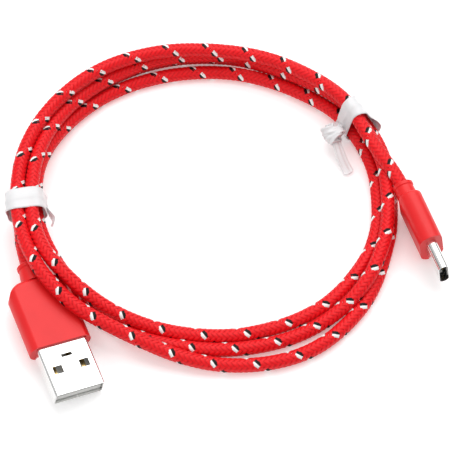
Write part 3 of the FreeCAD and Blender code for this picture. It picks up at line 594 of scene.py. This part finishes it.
def tie_band(name, angle, centers, width, ease, shift, waist=0.0, fan=0.0, slide=0.0):
    """Ribbon closed loosely round the cords at one angle of the ring.

    It is eased sideways and shifted outward, narrower at the sides by its waist, wider outward by its
    fan, and slid along the cords.
    """
    loop = wrapped(centers, FILM_REACH, BAND_POINTS)
    middle = (loop.max(axis=0) + loop.min(axis=0)) / 2
    place = ring_matrix(angle, 0.0, 0.0)
    places, outs, widths = [], [], []
    for index, (x, y) in enumerate(loop):
        turn = 2 * math.pi * index / len(loop)
        side = (x - middle[0]) / (loop[:, 0].max() - middle[0])
        x = middle[0] + (x - middle[0]) * ease + shift
        wander = 0.25 * math.sin(turn + 0.6) + 0.12 * math.sin(3 * turn)
        along = wander + 0.5 * width * fan * side + slide
        places.append(place @ Vector((x, max(y, FILM_LOWEST), along)))
        outs.append((place.to_3x3() @ Vector((side, (y - middle[1]) / 4.0, 0))).normalized())
        widths.append(width * (1 - waist * abs(side) ** 2 + fan * side))
    return ribbon(name, places, widths, outs, closed=True, thick=0.22, rib=0.2)


def tie(side, pieces):
    """One twist tie, joined into one piece."""
    for thing in scene.objects:
        thing.select_set(thing in pieces)
    joined = pieces[0]
    bpy.context.view_layer.objects.active = joined
    bpy.ops.object.join()
    joined.select_set(False)
    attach(joined, CABLE)
    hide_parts(side + "_twist_tie", side + "_tie_wire")


LEFT_ANGLE = 187.0
LEFT_STRANDS = [(0.9, 5.3), (-0.15, 5.1), (-0.05, 8.6), (0.93, 8.85)]
LEFT_TAIL = [(-44.6, 2.6, 7.2), (-43.2, 1.0, 6.6), (-41.9, -0.6, 5.2), (-41.1, -1.6, 3.6), (-41.6, -2.3, 1.9)]

RIGHT_ANGLE = 35.0
RIGHT_STRANDS = [(0.8, 5.5), (0.2, 2.35), (1.35, 2.35), (0.53, 8.7)]
RIGHT_TAIL = [(26.7, 21.6, 4.2), (27.4, 19.4, 3.3), (28.4, 16.8, 2.0), (29.5, 14.6, 1.0), (30.3, 13.2, 0.75)]
BRIDGE = [(29.0, 27.2, 3.4), (27.9, 25.3, 4.2), (26.6, 23.2, 4.9)]

# The twist: its middle and direction, and each lap's two radii, start angle and place along it, in mm.
KNOT = Vector((26.3, 22.2, 4.6))
KNOT_AXIS = Vector((0.35, -0.93, -0.12)).normalized()
KNOT_LAPS = [(2.3, 1.7, 0.2, -0.6), (1.9, 1.45, 2.4, 0.5), (1.5, 1.1, 4.4, 1.3)]


def pointed_tail(name, points, count=36):
    """Thin end of a tie, twisted and drawn to a point."""
    last = count - 1
    outs, widths = [], []
    for k in range(count):
        twist = 0.4 + 2.6 * k / last
        outs.append(Vector((math.cos(twist), math.sin(twist), 0.5)))
        widths.append(0.35 + 2.0 * (1 - k / last) ** 0.8)
    return ribbon(name, smooth_path(points, count), widths, outs, thick=0.22, rib=0.15)


def knot_lap(lap, sizes, side, up, count=48):
    """One uneven lap of ribbon round the twist."""
    size_a, size_b, start, rise = sizes
    places, outs, widths = [], [], []
    for k in range(count):
        turn = start + 2 * math.pi * 1.08 * k / (count - 1)
        grow = 1 + 0.09 * math.sin(3 * turn + lap)
        across = side * math.cos(turn)
        upward = up * math.sin(turn)
        along = KNOT_AXIS * (rise + 0.5 * math.sin(turn + lap))
        places.append(KNOT + along + across * size_a * grow + upward * size_b * grow)
        outs.append((across + upward + KNOT_AXIS * 0.5 * math.sin(2 * turn + lap)).normalized())
        widths.append(2.9 - 0.6 * lap + 0.3 * math.sin(2 * turn))
    return ribbon("knot_%d" % lap, places, widths, outs, thick=0.32, rib=0.25)


def knot_core(side, up, count=24):
    """Gathered film through the middle of the twist."""
    last = count - 1
    places = smooth_path([KNOT - KNOT_AXIS * 2.6 + up * 0.4, KNOT, KNOT + KNOT_AXIS * 2.2], count)
    outs, widths = [], []
    for k in range(count):
        outs.append(up * math.cos(3.0 * k / last) + side * math.sin(3.0 * k / last))
        widths.append(2.4 - 1.0 * math.sin(math.pi * k / last))
    return ribbon("knot_core", places, widths, outs, thick=0.9, rib=0.6)


def knot_bridge(count=20):
    """Film from the band to the twist."""
    widths = [3.6 - 1.6 * k / (count - 1) for k in range(count)]
    return ribbon("knot_bridge", smooth_path(BRIDGE, count), widths, [Vector((-0.5, -0.3, 0.8))] * count)


def flat_tail(name, points, length=9.6, count=50):
    """Flat end of a tie, lying down to the floor, a little wider outward and rounded off."""
    last = count - 1
    outs, widths = [], []
    for k in range(count):
        rest = (last - k) / last * length
        rounding = math.sqrt(max(1 - max(1.1 - rest, 0) ** 2 / 1.25, 0.02))
        outs.append(Vector((0.25 - 0.35 * k / last, 0.1, 1)))
        widths.append((2.1 + 0.6 * min(k / 22, 1)) * rounding)
    return ribbon(name, smooth_path(points, count), widths, outs, thick=0.3, rib=0.22)


def left_tie():
    """Band round the cords, and its pointed twisted end inside the ring."""
    band = tie_band("left_twist_tie_film", LEFT_ANGLE, lanes(LEFT_STRANDS), 5.6, 1.2, 0.1, waist=0.08)
    tie("left", [band, pointed_tail("left_tail", LEFT_TAIL)])


def right_tie():
    """Band round the cords, the twist that closes it, and its flat end inside the ring."""
    band = tie_band("right_twist_tie_film", RIGHT_ANGLE, lanes(RIGHT_STRANDS), 5.8, 1.02, -0.15,
                    fan=0.25, slide=1.5)
    side = KNOT_AXIS.cross(Vector((0, 0, 1))).normalized()
    up = side.cross(KNOT_AXIS)
    pieces = [band]
    for lap, sizes in enumerate(KNOT_LAPS):
        pieces.append(knot_lap(lap, sizes, side, up))
    pieces += [knot_core(side, up), knot_bridge(), flat_tail("right_tail", RIGHT_TAIL)]
    tie("right", pieces)


left_tie()
right_tie()


# ---------------------------------------------------------------- floor and light

FLOOR_HALF = 1.5
FLOOR_GLOW = 0.22
SKY_STRENGTH = 0.75
SKY_LOW, SKY_HIGH = 0.3, 0.62


def make_floor():
    """White paper that glows a little, so that shadows on it stay faint."""
    h = FLOOR_HALF
    data = bpy.data.meshes.new("floor")
    data.from_pydata([(-h, -h, 0), (h, -h, 0), (h, h, 0), (-h, h, 0)], [], [(0, 1, 2, 3)])
    thing = bpy.data.objects.new("floor", data)
    scene.collection.objects.link(thing)
    paper = Nodes("floor_paper").set(Roughness=0.9)
    paper.shader.inputs["Specular IOR Level"].default_value = 0.1
    paper.shader.inputs["Base Color"].default_value = (0.93, 0.93, 0.93, 1)
    paper.shader.inputs["Emission Color"].default_value = (1, 1, 1, 1)
    paper.shader.inputs["Emission Strength"].default_value = FLOOR_GLOW
    data.materials.append(paper.material)
    return thing


def make_sky():
    """Studio surround: white overhead, grey towards the horizon."""
    world = bpy.data.worlds.new("studio")
    world.use_nodes = True
    nodes, links = world.node_tree.nodes, world.node_tree.links
    place = nodes.new("ShaderNodeTexCoord")
    split = nodes.new("ShaderNodeSeparateXYZ")
    ramp = nodes.new("ShaderNodeValToRGB")
    low, high = ramp.color_ramp.elements
    low.position = SKY_LOW
    low.color = (0.4, 0.4, 0.4, 1)
    high.position = SKY_HIGH
    high.color = (1.0, 1.0, 1.0, 1)
    links.new(place.outputs["Generated"], split.inputs[0])
    links.new(split.outputs["Z"], ramp.inputs[0])
    links.new(ramp.outputs[0], nodes["Background"].inputs["Color"])
    nodes["Background"].inputs["Strength"].default_value = SKY_STRENGTH
    scene.world = world


def lamp(name, place, width, height, watts):
    """Rectangular lamp aimed at the middle of the ring."""
    data = bpy.data.lights.new(name, "AREA")
    data.shape = "RECTANGLE"
    data.size = width
    data.size_y = height
    data.energy = watts
    thing = bpy.data.objects.new(name, data)
    scene.collection.objects.link(thing)
    thing.location = place
    thing.rotation_euler = (-Vector(place)).to_track_quat("-Z", "Y").to_euler()


floor = make_floor()
make_sky()
lamp("key", (0.12, 0.36, 0.62), 0.8, 0.7, 4.3)
lamp("fill", (-0.5, -0.35, 0.45), 0.4, 0.4, 1.0)
